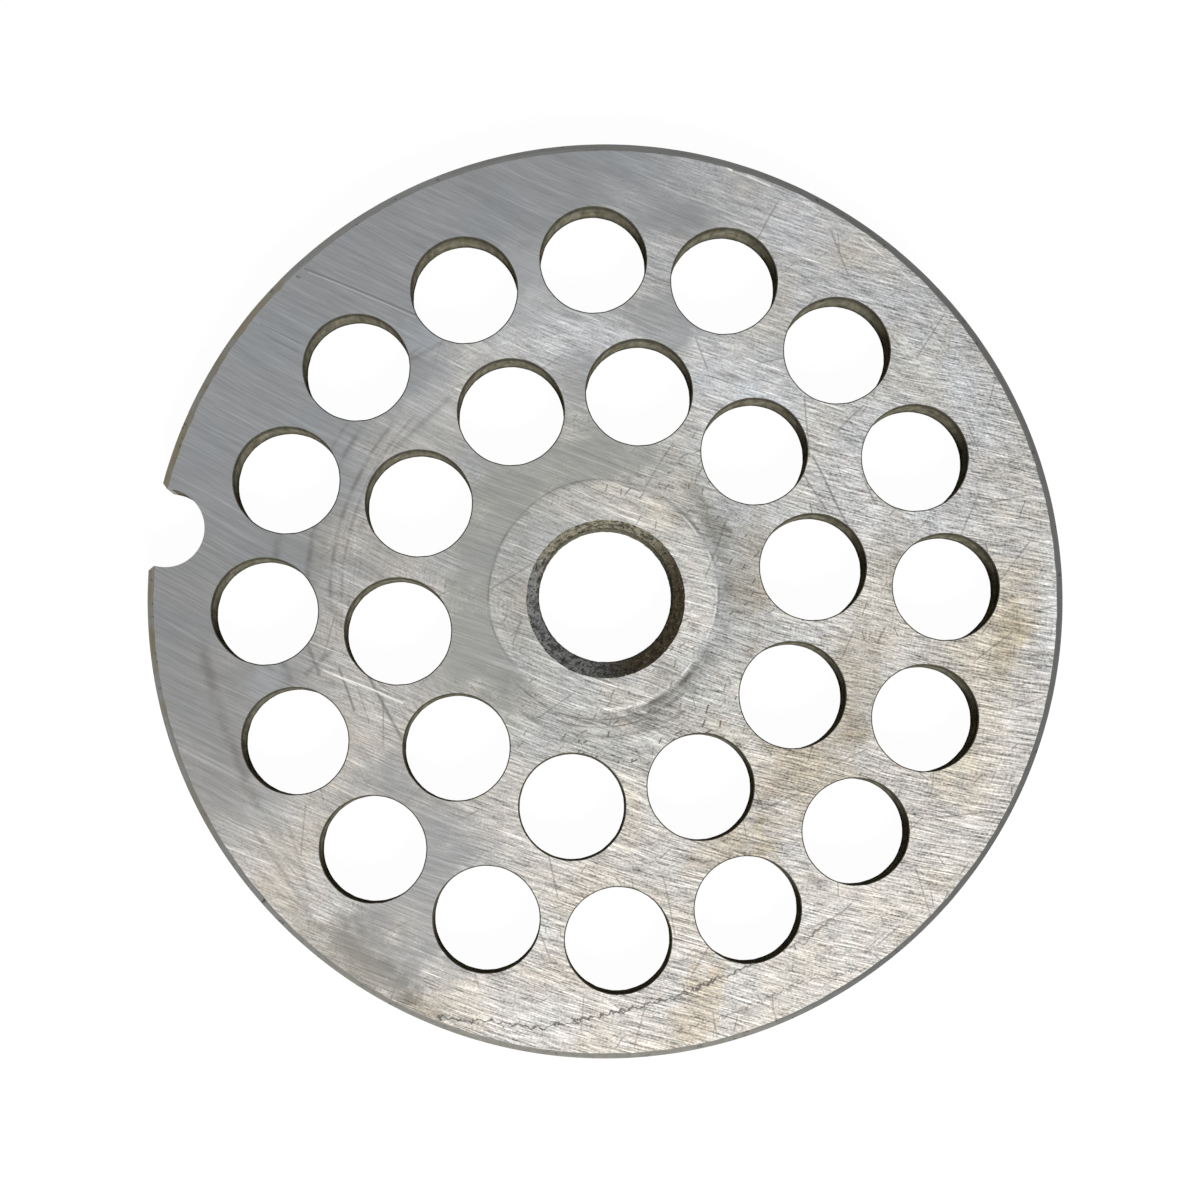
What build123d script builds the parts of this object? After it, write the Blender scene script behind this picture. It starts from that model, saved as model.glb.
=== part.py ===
"""Perforated plate for a size 22 meat grinder.

One steel disc that sits at the mouth of the grinder. The worm's stub passes through the centre bore, the knife
turns against one face, and the meat leaves through rings of drilled holes. A notch in the rim drops over a pin in
the grinder's body and stops the disc from turning with the knife.

Millimetres. The disc lies flat with +Z along the bore. The origin is the centre of the underside, and the notch
is on the -X side. Both faces are the same, so the plate can be turned over when one is worn.
"""

import os
from math import asin, floor, pi, sqrt

from build123d import *

os.makedirs("parts", exist_ok=True)

# Disc
plate_diameter = 82.0
plate_thickness = 8.0
rim_chamfer = 0.6

# Centre bore, which turns on the worm's stub, and the 90 degree countersink at each of its ends
bore_diameter = 12.0
countersink_width = 1.1

# Drilled holes. The land inside the rim is covered by the grinder's ring nut, and the land round the bore is
# rubbed by the knife's hub. The web is the least metal left between two holes.
hole_diameter = 9.5
hole_web = 2.1
rim_land_width = 5.75
hub_land_diameter = 28.1

# Locating notch: a slot with a round floor, its mouth corners broken at 45 degrees
notch_angle = 180.0
notch_width = 7.0
notch_depth = 4.6
notch_corner_break = 0.5

plate_radius = plate_diameter / 2
hole_pitch = hole_diameter + hole_web

# As many rings as fit between the two lands, evenly spaced: 61.0 and 37.6 mm across their hole centres
outer_ring_radius = plate_radius - rim_land_width - hole_diameter / 2
inner_ring_radius = (hub_land_diameter + hole_diameter) / 2
ring_count = floor((outer_ring_radius - inner_ring_radius) / hole_pitch) + 1
ring_step = (outer_ring_radius - inner_ring_radius) / max(ring_count - 1, 1)
ring_radii = [outer_ring_radius - ring_step * ring for ring in range(ring_count)]

# The notch's plane has its x axis pointing out along the notch
notch_plane = Plane.XY.rotated((0, 0, notch_angle))
notch_floor_center = plate_radius - notch_depth + notch_width / 2
notch_mouth_edge = sqrt(plate_radius**2 - (notch_width / 2) ** 2)
notch_flare_apex = notch_mouth_edge - notch_corner_break - notch_width / 2
cutter_length = plate_diameter

with BuildPart() as grinder_plate:
    # Turned blank, chamfered round both faces
    with BuildSketch(Plane.XY):
        Circle(plate_radius)
    extrude(amount=plate_thickness)
    chamfer(grinder_plate.edges().filter_by(GeomType.CIRCLE), rim_chamfer)
    top_face = grinder_plate.faces().sort_by(Axis.Z)[-1]
    top_plane = Plane(top_face)

    # Centre bore, countersunk from both faces
    with Locations(top_plane):
        Hole(bore_diameter / 2)
    bore_wall = grinder_plate.faces().filter_by(GeomType.CYLINDER).sort_by(SortBy.RADIUS)[0]
    chamfer(bore_wall.edges().filter_by(GeomType.CIRCLE), countersink_width)

    # Rings of holes. Each ring starts half a pitch from the notch, so the notch points between two holes.
    for ring_radius in ring_radii:
        holes_in_ring = floor(pi / asin(hole_pitch / (2 * ring_radius)))
        first_angle = notch_angle + 180 / holes_in_ring
        with Locations(top_plane):
            with PolarLocations(ring_radius, holes_in_ring, start_angle=first_angle):
                Hole(hole_diameter / 2)

    # Notch, milled straight through from the rim. The flare breaks the two corners at its mouth.
    with BuildSketch(notch_plane):
        with Locations((notch_floor_center, 0)):
            Circle(notch_width / 2)
            Rectangle(cutter_length, notch_width, align=(Align.MIN, Align.CENTER))
        with BuildLine():
            Polyline(
                (notch_flare_apex, 0),
                (notch_flare_apex + cutter_length, cutter_length),
                (notch_flare_apex + cutter_length, -cutter_length),
                close=True,
            )
        make_face()
    extrude(amount=plate_thickness, mode=Mode.SUBTRACT)

grinder_plate.part.label = "grinder_plate"
export_step(grinder_plate.part, "parts/grinder_plate.step")
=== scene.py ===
import math

import bmesh
import bpy
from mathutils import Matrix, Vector, noise


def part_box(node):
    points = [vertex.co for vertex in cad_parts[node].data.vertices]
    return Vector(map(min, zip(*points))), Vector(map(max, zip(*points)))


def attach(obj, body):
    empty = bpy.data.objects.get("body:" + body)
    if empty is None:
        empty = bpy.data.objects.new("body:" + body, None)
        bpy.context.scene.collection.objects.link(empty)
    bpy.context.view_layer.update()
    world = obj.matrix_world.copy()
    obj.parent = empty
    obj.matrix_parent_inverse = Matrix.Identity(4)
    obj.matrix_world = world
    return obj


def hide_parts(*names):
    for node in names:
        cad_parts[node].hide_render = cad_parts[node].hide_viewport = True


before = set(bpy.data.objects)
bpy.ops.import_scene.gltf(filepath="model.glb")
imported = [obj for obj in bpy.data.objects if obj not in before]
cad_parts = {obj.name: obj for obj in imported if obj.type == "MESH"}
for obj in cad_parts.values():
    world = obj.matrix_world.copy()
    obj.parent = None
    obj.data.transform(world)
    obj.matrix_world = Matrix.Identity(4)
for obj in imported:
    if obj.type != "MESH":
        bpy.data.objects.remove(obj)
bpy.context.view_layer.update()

# ---- Turned blank -------------------------------------------------------------------------------
# A disc of hardened carbon steel, faced and turned in the lathe, with a small chamfer round each
# face. Its centre is roughed out first, and the bore, holes and notch are cut into it below.
MM = 0.001
low_corner, high_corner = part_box("grinder_plate")
plate_thickness = high_corner.z - low_corner.z
plate_radius = (high_corner.y - low_corner.y) / 2
rim_chamfer = 0.6 * MM
rough_centre_radius = 4.0 * MM
turning_steps = 640
wall_rows = 6
# Rings of the knife face: radius and depth below the ground plane, in millimetres. The hub that turns
# against it has left the middle standing as a low, slightly eccentric step.
hub_rings = (
    (9.9, 0.0), (10.08, 0.004), (10.2, 0.014), (10.35, 0.03), (10.5, 0.036), (10.7, 0.035),
    (11.2, 0.028), (11.8, 0.017), (12.6, 0.006), (13.4, 0.0),
)
knife_face_rings = [(5.4, 0.0), (6.6, 0.0), (7.6, 0.0), (8.6, 0.0), *hub_rings]
knife_face_rings += [(14.5 + 1.1 * step, 0.0) for step in range(24)]
underside_rings = [(7.2 + 3.2 * step, 0.0) for step in range(11)]
# The hub leant a little as it ran, so its step is off the axis and deeper on one side.
hub_offset = 0.45 * MM
hub_offset_bearing = math.radians(135)
hub_waver = 0.22 * MM
hub_deep_bearing = math.radians(-20)
hub_mean_depth = 0.72
hub_depth_swing = 0.28
hub_depth_waver = 0.5
# The chamfer was turned a little off the axis too, and small nicks have widened it beside the notch.
chamfer_offset = 0.1 * MM
chamfer_offset_bearing = math.radians(99)
chamfer_margin = 0.02 * MM
chamfer_waver = 0.04 * MM
chamfer_raggedness = 0.05 * MM
nick_bearings = (140.4, 145.3, 152.9, 158.8, 165.6)
nick_half_angle = 0.5
nick_width = 0.08 * MM


def bearing_noise(turn, coarseness, layer):
    """A smooth random swing that closes on itself once round the plate."""
    return noise.noise(Vector((coarseness * math.cos(turn), coarseness * math.sin(turn), layer)))


def hub_shift(turn):
    """How far the hub's step lies off its mean radius on one bearing."""
    return hub_offset * math.cos(turn - hub_offset_bearing) + hub_waver * bearing_noise(turn, 4, 9)


def hub_depth(turn):
    """The share of its depth that the step has on one bearing."""
    leaning = hub_depth_swing * math.cos(turn - hub_deep_bearing)
    return hub_mean_depth + leaning + hub_depth_waver * bearing_noise(turn, 2, 6)


def chamfer_width(turn, side):
    """The chamfer's width on one bearing, ragged at its edge; side 1 is the knife face."""
    width = rim_chamfer - chamfer_margin + chamfer_offset * math.cos(turn - chamfer_offset_bearing)
    width += chamfer_waver * bearing_noise(turn, 5, 3 * side)
    width += chamfer_raggedness * bearing_noise(turn, 35, 21 * side)
    for nick in nick_bearings:
        if side == 1 and abs(math.degrees(turn) - nick) < nick_half_angle:
            width += nick_width
    return width


turning = bmesh.new()
turned_rings = []
for step in range(turning_steps):
    turn = 2 * math.pi * step / turning_steps
    under_width = chamfer_width(turn, 0)
    knife_width = chamfer_width(turn, 1)
    profile = [(rough_centre_radius, 0.0)]
    profile += [(radius * MM, 0.0) for radius, depth in underside_rings]
    profile.append((plate_radius - under_width, 0.0))
    profile.append((plate_radius - under_width / 2, under_width / 2))
    wall_height = plate_thickness - under_width - knife_width
    for level in range(wall_rows + 1):
        profile.append((plate_radius, under_width + wall_height * level / wall_rows))
    profile.append((plate_radius - knife_width / 2, plate_thickness - knife_width / 2))
    profile.append((plate_radius - knife_width, plate_thickness))
    for radius, depth in reversed(knife_face_rings):
        moved = hub_shift(turn) if (radius, depth) in hub_rings else 0.0
        sunk = max(depth * hub_depth(turn), 0.0) * MM
        profile.append((radius * MM + moved, plate_thickness - sunk))
    profile.append((rough_centre_radius, plate_thickness))
    turned_rings.append([
        turning.verts.new((radius * math.cos(turn), radius * math.sin(turn), height))
        for radius, height in profile
    ])
for step, ring in enumerate(turned_rings):
    next_ring = turned_rings[(step + 1) % turning_steps]
    for point in range(len(ring)):
        beside = (point + 1) % len(ring)
        turning.faces.new((ring[point], next_ring[point], next_ring[beside], ring[beside]))
bmesh.ops.recalc_face_normals(turning, faces=turning.faces)
blank_mesh = bpy.data.meshes.new("turned_blank")
turning.to_mesh(blank_mesh)
turning.free()
blank = bpy.data.objects.new("turned_blank", blank_mesh)
bpy.context.collection.objects.link(blank)

# ---- Drill --------------------------------------------------------------------------------------
# The shape that one drill and its countersink take out: a straight wall with a 45 degree cone at
# both faces. The cone runs on past the face, so that the cut never ends flush with it.
def new_group(name, kind, inputs, outputs):
    """A node group with its named sockets, each given as name: (socket type, default)."""
    group = bpy.data.node_groups.new(name, kind)
    for socket_name, (socket_type, default) in inputs.items():
        socket = group.interface.new_socket(socket_name, in_out="INPUT", socket_type=socket_type)
        if default is not None:
            socket.default_value = default
    for socket_name, socket_type in outputs.items():
        group.interface.new_socket(socket_name, in_out="OUTPUT", socket_type=socket_type)
    return group, group.nodes.new("NodeGroupInput").outputs, group.nodes.new("NodeGroupOutput").inputs


def place(tree, kind, sockets=(), **settings):
    """One node in a tree: its settings first, then a value or a link for each named socket."""
    node = tree.nodes.new(kind)
    for setting, value in settings.items():
        setattr(node, setting, value)
    for key, value in dict(sockets).items():
        if isinstance(value, bpy.types.NodeSocket):
            tree.links.new(value, node.inputs[key])
        else:
            node.inputs[key].default_value = value
    return node


def value_of(tree, operation, *terms):
    """The result of one Math node."""
    return place(tree, "ShaderNodeMath", dict(enumerate(terms)), operation=operation).outputs[0]


def plus(tree, first, second):
    """Two values added."""
    return value_of(tree, "ADD", first, second)


def less(tree, first, second):
    """The first value less the second."""
    return value_of(tree, "SUBTRACT", first, second)


def times(tree, first, second):
    """Two values multiplied."""
    return value_of(tree, "MULTIPLY", first, second)


def ramp_of(tree, value, start, end, low=0.0, high=1.0):
    """A smooth ramp from low to high while a value goes from start to end."""
    return place(tree, "ShaderNodeMapRange", {
        "Value": value, "From Min": start, "From Max": end, "To Min": low, "To Max": high,
    }, interpolation_type="SMOOTHSTEP", clamp=False).outputs[0]


def vector_of(tree, operation, first, second=None, output=0):
    """The result of one Vector Math node."""
    sockets = {0: first}
    if second is not None:
        sockets["Scale" if operation == "SCALE" else 1] = second
    return place(tree, "ShaderNodeVectorMath", sockets, operation=operation).outputs[output]


def length_of(tree, vector):
    """The length of a vector."""
    return vector_of(tree, "LENGTH", vector, output="Value")


def distance_along(tree, vector, direction):
    """How far a vector reaches along a direction, times that direction's own length."""
    return vector_of(tree, "DOT_PRODUCT", vector, direction, output="Value")


def axes_of(tree, vector):
    """The x, y and z of a vector."""
    return place(tree, "ShaderNodeSeparateXYZ", {0: vector}).outputs


def point_of(tree, x=0.0, y=0.0, z=0.0):
    """A vector from its x, y and z."""
    return place(tree, "ShaderNodeCombineXYZ", {0: x, 1: y, 2: z}).outputs[0]


def noise_of(tree, position, scale, detail, roughness=0.5, output=0):
    """A cloudy pattern: output 0 is its value, output 1 its colour."""
    return place(tree, "ShaderNodeTexNoise", {
        "Vector": position, "Scale": scale, "Detail": detail, "Roughness": roughness,
    }).outputs[output]


FLOAT = "NodeSocketFloat"
VECTOR = "NodeSocketVector"
COUNT = "NodeSocketInt"
GEOMETRY = "NodeSocketGeometry"
drill, drill_in, drill_out = new_group(
    "Countersunk drill",
    "GeometryNodeTree",
    {
        "Radius": (FLOAT, 4.75 * MM),
        "Plate Thickness": (FLOAT, plate_thickness),
        "Edge Break": (FLOAT, 0.1 * MM),
        "Overrun": (FLOAT, 0.5 * MM),
        "Cone Share": (FLOAT, 0.25),
        "Cone Drift": (VECTOR, (0.0, 0.0, 0.0)),
        "Facets": (COUNT, 96),
        "Rows": (COUNT, 8),
        "Roughness": (FLOAT, 0.0),
        "Grain": (FLOAT, 1.0 * MM),
    },
    {"Drill": GEOMETRY},
)
round_bar = place(drill, "GeometryNodeMeshCylinder", {
    "Vertices": drill_in["Facets"],
    "Side Segments": drill_in["Rows"],
    "Radius": drill_in["Radius"],
    "Depth": drill_in["Plate Thickness"],
})
spot = place(drill, "GeometryNodeInputPosition").outputs[0]
spot_axes = axes_of(drill, spot)
half_thickness = times(drill, drill_in["Plate Thickness"], 0.5)
height_share = value_of(drill, "DIVIDE", value_of(drill, "ABSOLUTE", spot_axes[2]), half_thickness)
wall_share = less(drill, 1.0, drill_in["Cone Share"])
cone_part = ramp_of(drill, height_share, wall_share, 1.0)
straight_wall = less(drill, half_thickness, drill_in["Edge Break"])
wall_height = ramp_of(drill, height_share, 0.0, wall_share, 0.0, straight_wall)
cone_reach = plus(drill, drill_in["Edge Break"], drill_in["Overrun"])
flare = times(drill, cone_part, cone_reach)
signed_height = times(drill, plus(drill, wall_height, flare), value_of(drill, "SIGN", spot_axes[2]))
outward = vector_of(drill, "NORMALIZE", vector_of(drill, "MULTIPLY", spot, (1, 1, 0)))
grain = noise_of(drill, spot, value_of(drill, "DIVIDE", 1.0, drill_in["Grain"]), 3.0, 0.6)
pitting = times(drill, less(drill, grain, 0.5), drill_in["Roughness"])
reach = plus(drill, plus(drill, drill_in["Radius"], flare), pitting)
drift = vector_of(drill, "SCALE", drill_in["Cone Drift"], cone_part)
drilled_wall = vector_of(drill, "SCALE", outward, reach)
raised = point_of(drill, z=plus(drill, signed_height, half_thickness))
new_spot = vector_of(drill, "ADD", vector_of(drill, "ADD", drilled_wall, raised), drift)
shaped_bar = place(drill, "GeometryNodeSetPosition", {
    "Geometry": round_bar.outputs["Mesh"],
    "Position": new_spot,
})
drill.links.new(shaped_bar.outputs[0], drill_out["Drill"])

# ---- Rings of holes -----------------------------------------------------------------------------
# The meat leaves through two rings of drilled holes, 16 outside and 10 inside. Each ring starts
# half a pitch from the notch, as an indexing head sets them out, so the notch points between two.
hole_ring, ring_in, ring_out = new_group(
    "Ring of holes",
    "GeometryNodeTree",
    {
        "Drill": (GEOMETRY, None),
        "Ring Radius": (FLOAT, 30.5 * MM),
        "Hole Count": (COUNT, 16),
        "Notch Angle": (FLOAT, math.pi),
    },
    {"Holes": GEOMETRY},
)
pitch_circle = place(hole_ring, "GeometryNodeMeshCircle", {
    "Vertices": ring_in["Hole Count"],
    "Radius": ring_in["Ring Radius"],
})
half_pitch = value_of(hole_ring, "DIVIDE", math.pi, ring_in["Hole Count"])
index_turn = point_of(hole_ring, z=plus(hole_ring, ring_in["Notch Angle"], half_pitch))
set_out = place(hole_ring, "GeometryNodeTransform", {
    "Geometry": pitch_circle.outputs[0],
    "Rotation": index_turn,
})
holes = place(hole_ring, "GeometryNodeInstanceOnPoints", {
    "Points": set_out.outputs[0],
    "Instance": ring_in["Drill"],
})
hole_ring.links.new(holes.outputs[0], ring_out["Holes"])

# ---- Drilled plate ------------------------------------------------------------------------------
# The blank with the bore, the rings of holes and the locating notch cut through it. The bore is
# countersunk from both faces with a hand drill, so its cones are a little off the axis.
plate_tree, plate_in, plate_out = new_group(
    "Drilled plate",
    "GeometryNodeTree",
    {
        "Blank": (GEOMETRY, None),
        "Plate Radius": (FLOAT, plate_radius),
        "Plate Thickness": (FLOAT, plate_thickness),
        "Hole Diameter": (FLOAT, 9.5 * MM),
        "Hole Edge Break": (FLOAT, 0.1 * MM),
        "Outer Ring Radius": (FLOAT, 30.5 * MM),
        "Outer Hole Count": (COUNT, 16),
        "Inner Ring Radius": (FLOAT, 18.8 * MM),
        "Inner Hole Count": (COUNT, 10),
        "Bore Diameter": (FLOAT, 12.0 * MM),
        "Countersink Width": (FLOAT, 1.1 * MM),
        "Bore Offset": (VECTOR, (0.0, 0.0, 0.0)),
        "Countersink Drift": (VECTOR, (0.0, 0.0, 0.0)),
        "Notch Angle": (FLOAT, math.pi),
        "Notch Width": (FLOAT, 7.0 * MM),
        "Notch Depth": (FLOAT, 4.6 * MM),
        "Notch Corner Break": (FLOAT, 0.5 * MM),
        "Ground Face": ("NodeSocketMaterial", None),
        "Turned Rim": ("NodeSocketMaterial", None),
        "Drilled Wall": ("NodeSocketMaterial", None),
        "Rough Bore": ("NodeSocketMaterial", None),
    },
    {"Plate": GEOMETRY},
)
hole_drill = place(plate_tree, "GeometryNodeGroup", {
    "Radius": times(plate_tree, plate_in["Hole Diameter"], 0.5),
    "Plate Thickness": plate_in["Plate Thickness"],
    "Edge Break": plate_in["Hole Edge Break"],
    "Roughness": 0.1 * MM,
    "Grain": 0.9 * MM,
}, node_tree=drill)
hole_cuts = []
for ring_name in ("Outer", "Inner"):
    ring_node = place(plate_tree, "GeometryNodeGroup", {
        "Drill": hole_drill.outputs[0],
        "Ring Radius": plate_in[ring_name + " Ring Radius"],
        "Hole Count": plate_in[ring_name + " Hole Count"],
        "Notch Angle": plate_in["Notch Angle"],
    }, node_tree=hole_ring)
    hole_cuts.append(ring_node.outputs[0])
bore_drill = place(plate_tree, "GeometryNodeGroup", {
    "Radius": times(plate_tree, plate_in["Bore Diameter"], 0.5),
    "Plate Thickness": plate_in["Plate Thickness"],
    "Edge Break": plate_in["Countersink Width"],
    "Cone Drift": plate_in["Countersink Drift"],
    "Cone Share": 0.4,
    "Facets": 256,
    "Rows": 40,
    "Roughness": 0.16 * MM,
    "Grain": 0.5 * MM,
}, node_tree=drill)
bore_cut = place(plate_tree, "GeometryNodeTransform", {
    "Geometry": bore_drill.outputs[0],
    "Translation": plate_in["Bore Offset"],
})

# The notch is milled in from the rim: a round floor, straight sides, and its two corners broken.
notch_radius = times(plate_tree, plate_in["Notch Width"], 0.5)
notch_floor = less(plate_tree, plate_in["Plate Radius"], plate_in["Notch Depth"])
notch_floor_centre = plus(plate_tree, notch_floor, notch_radius)
cutter_length = 16.0 * MM
mill = place(plate_tree, "GeometryNodeMeshCylinder", {
    "Vertices": 96,
    "Side Segments": 1,
    "Radius": notch_radius,
    "Depth": 2 * cutter_length,
})
mill_path = place(plate_tree, "GeometryNodeMeshCube", {
    "Size": point_of(plate_tree, cutter_length, plate_in["Notch Width"], 2 * cutter_length),
})
mouth_edge = value_of(plate_tree, "SQRT", less(
    plate_tree,
    times(plate_tree, plate_in["Plate Radius"], plate_in["Plate Radius"]),
    times(plate_tree, notch_radius, notch_radius),
))
flare_apex = less(plate_tree, less(plate_tree, mouth_edge, plate_in["Notch Corner Break"]), notch_radius)
corner_break = place(plate_tree, "GeometryNodeMeshCube", {
    "Size": (cutter_length, cutter_length, 2 * cutter_length),
})
half_path = plus(plate_tree, notch_floor_centre, cutter_length / 2)
wedge_centre = plus(plate_tree, flare_apex, cutter_length * math.sqrt(0.5))
notch_cuts = []
for cutter, along, quarter_turn in (
    (mill, notch_floor_centre, 0.0),
    (mill_path, half_path, 0.0),
    (corner_break, wedge_centre, math.pi / 4),
):
    moved_out = place(plate_tree, "GeometryNodeTransform", {
        "Geometry": cutter.outputs[0],
        "Translation": point_of(plate_tree, along),
        "Rotation": (0.0, 0.0, quarter_turn),
    })
    turned_to_notch = place(plate_tree, "GeometryNodeTransform", {
        "Geometry": moved_out.outputs[0],
        "Rotation": point_of(plate_tree, z=plate_in["Notch Angle"]),
    })
    notch_cuts.append(turned_to_notch.outputs[0])

machined = place(plate_tree, "GeometryNodeMeshBoolean", {
    "Mesh 1": plate_in["Blank"],
}, operation="DIFFERENCE", solver="MANIFOLD")
for cut in hole_cuts + [bore_cut.outputs[0]] + notch_cuts:
    plate_tree.links.new(cut, machined.inputs["Mesh 2"])

# Each edge sharper than this angle stays crisp; the rest is one smooth surface.
crisp_angle = math.radians(25)
edge_angle = place(plate_tree, "GeometryNodeInputMeshEdgeAngle").outputs["Unsigned Angle"]
crisp_edge = place(
    plate_tree, "FunctionNodeCompare", {"A": edge_angle, "B": crisp_angle}, operation="GREATER_THAN"
).outputs[0]
smooth = place(plate_tree, "GeometryNodeSetShadeSmooth", {
    "Geometry": machined.outputs["Mesh"], "Shade Smooth": True,
})
creased = place(plate_tree, "GeometryNodeSetShadeSmooth", {
    "Geometry": smooth.outputs[0], "Selection": crisp_edge, "Shade Smooth": False,
}, domain="EDGE")

# Finishes by place: ground where the plate is flat, and elsewhere drilled, rough in the bore or turned.
flat_share = 0.95
bore_zone = 9.0 * MM
rim_zone = 0.7 * MM
face_axes = axes_of(plate_tree, place(plate_tree, "GeometryNodeInputPosition").outputs[0])
normal_axes = axes_of(plate_tree, place(plate_tree, "GeometryNodeInputNormal").outputs[0])
level_spot = point_of(plate_tree, face_axes[0], face_axes[1])
from_axis = length_of(plate_tree, level_spot)
steep = value_of(plate_tree, "LESS_THAN", value_of(plate_tree, "ABSOLUTE", normal_axes[2]), flat_share)
near_bore = value_of(plate_tree, "LESS_THAN", from_axis, bore_zone)
rim_start = less(plate_tree, plate_in["Plate Radius"], rim_zone)
on_rim = value_of(plate_tree, "GREATER_THAN", from_axis, rim_start)
finished = place(plate_tree, "GeometryNodeRealizeInstances", {"Geometry": creased.outputs[0]}).outputs[0]
for material_name, where in (
    ("Ground Face", None),
    ("Drilled Wall", steep),
    ("Rough Bore", times(plate_tree, steep, near_bore)),
    ("Turned Rim", times(plate_tree, steep, on_rim)),
):
    sockets = {"Geometry": finished, "Material": plate_in[material_name]}
    if where is not None:
        sockets["Selection"] = where
    finished = place(plate_tree, "GeometryNodeSetMaterial", sockets).outputs[0]
plate_tree.links.new(finished, plate_out["Plate"])

# ---- Ground faces -------------------------------------------------------------------------------
# Both faces are ground on a large wheel, which leaves long, fine, slightly curved lines. The knife
# then scratches rings round the bore, and washing and storage add stains, ticks and scratches.

# Lines that run round a centre, as a wheel or a turning knife leaves them. Sizes in millimetres.
arc_lines, arc_in, arc_out = new_group("Arc lines", "ShaderNodeTree", {
    "Position": (VECTOR, None),
    "Centre": (VECTOR, (0.0, 0.0, 0.0)),
    "Reach": (FLOAT, 25.0),
    "Line Width": (FLOAT, 0.2),
    "Line Length": (FLOAT, 6.0),
    "Detail": (FLOAT, 2.0),
    "Seed": (FLOAT, 0.0),
}, {"Lines": FLOAT})
from_centre = vector_of(arc_lines, "SUBTRACT", arc_in["Position"], arc_in["Centre"])
level_part = vector_of(arc_lines, "MULTIPLY", from_centre, (1, 1, 0))
swing = length_of(arc_lines, level_part)
bearing = vector_of(arc_lines, "NORMALIZE", level_part)
along = vector_of(
    arc_lines, "SCALE", bearing, value_of(arc_lines, "DIVIDE", arc_in["Reach"], arc_in["Line Length"])
)
across = point_of(arc_lines, z=plus(
    arc_lines, value_of(arc_lines, "DIVIDE", swing, arc_in["Line Width"]), arc_in["Seed"]
))
line_noise = noise_of(arc_lines, vector_of(arc_lines, "ADD", along, across), 1.0, arc_in["Detail"], 0.6)
arc_lines.links.new(line_noise, arc_out["Lines"])

# One straight scratch between two points.
scratch, scratch_in, scratch_out = new_group("Scratch", "ShaderNodeTree", {
    "Position": (VECTOR, None),
    "From": (VECTOR, (0.0, 0.0, 0.0)),
    "To": (VECTOR, (1.0, 0.0, 0.0)),
    "Width": (FLOAT, 0.2),
}, {"Mask": FLOAT})
run = vector_of(scratch, "SUBTRACT", scratch_in["To"], scratch_in["From"])
offset = vector_of(scratch, "SUBTRACT", scratch_in["Position"], scratch_in["From"])
offset = vector_of(scratch, "MULTIPLY", offset, (1, 1, 0))
share = value_of(scratch, "DIVIDE", distance_along(scratch, offset, run), distance_along(scratch, run, run))
share = value_of(scratch, "MINIMUM", value_of(scratch, "MAXIMUM", share, 0.0), 1.0)
aside = vector_of(scratch, "SUBTRACT", offset, vector_of(scratch, "SCALE", run, share))
scratch.links.new(ramp_of(
    scratch, length_of(scratch, aside), 0.0, scratch_in["Width"], 1.0, 0.0
), scratch_out["Mask"])

# One arc round a centre, fading at both of its ends. It draws rubbed marks, painted shade beside
# the hub's step and a painted highlight along it. Angles in degrees.
arc_mark, mark_in, mark_out = new_group("Arc mark", "ShaderNodeTree", {
    "Position": (VECTOR, None),
    "Centre": (VECTOR, (0.0, 0.0, 0.0)),
    "Radius": (FLOAT, 10.0),
    "Width": (FLOAT, 0.3),
    "Middle Angle": (FLOAT, 0.0),
    "Half Angle": (FLOAT, 30.0),
}, {"Mask": FLOAT})
from_centre = vector_of(arc_mark, "SUBTRACT", mark_in["Position"], mark_in["Centre"])
level_part = vector_of(arc_mark, "MULTIPLY", from_centre, (1, 1, 0))
swing = length_of(arc_mark, level_part)
off_line = value_of(arc_mark, "ABSOLUTE", less(arc_mark, swing, mark_in["Radius"]))
middle = value_of(arc_mark, "RADIANS", mark_in["Middle Angle"])
middle_bearing = point_of(arc_mark, value_of(arc_mark, "COSINE", middle), value_of(arc_mark, "SINE", middle))
facing = vector_of(
    arc_mark, "DOT_PRODUCT", vector_of(arc_mark, "NORMALIZE", level_part), middle_bearing, output="Value"
)
end_facing = value_of(arc_mark, "COSINE", value_of(arc_mark, "RADIANS", mark_in["Half Angle"]))
on_line = ramp_of(arc_mark, off_line, 0.0, mark_in["Width"], 1.0, 0.0)
middle_facing = value_of(arc_mark, "MULTIPLY_ADD", end_facing, 0.6, 0.4)
within_ends = ramp_of(arc_mark, facing, end_facing, middle_facing)
arc_mark.links.new(times(arc_mark, on_line, within_ends), mark_out["Mask"])

# One patch with a soft uneven edge.
stain, stain_in, stain_out = new_group("Stain", "ShaderNodeTree", {
    "Position": (VECTOR, None),
    "Centre": (VECTOR, (0.0, 0.0, 0.0)),
    "Turn": (FLOAT, 0.0),
    "Half Length": (FLOAT, 3.0),
    "Half Breadth": (FLOAT, 3.0),
    "Raggedness": (FLOAT, 0.8),
}, {"Mask": FLOAT})
from_centre = vector_of(stain, "SUBTRACT", stain_in["Position"], stain_in["Centre"])
turn_cosine = value_of(stain, "COSINE", stain_in["Turn"])
turn_sine = value_of(stain, "SINE", stain_in["Turn"])
long_axis = point_of(stain, turn_cosine, turn_sine)
short_axis = point_of(stain, times(stain, turn_sine, -1.0), turn_cosine)
lengthwise = value_of(
    stain, "DIVIDE", distance_along(stain, from_centre, long_axis),
    stain_in["Half Length"]
)
breadthwise = value_of(
    stain, "DIVIDE", distance_along(stain, from_centre, short_axis),
    stain_in["Half Breadth"]
)
from_middle = value_of(stain, "SQRT", value_of(
    stain, "MULTIPLY_ADD", lengthwise, lengthwise, times(stain, breadthwise, breadthwise)
))
ragged = noise_of(stain, stain_in["Position"], 0.45, 4.0, 0.6)
edge_shift = times(stain, less(stain, ragged, 0.5), stain_in["Raggedness"])
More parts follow.
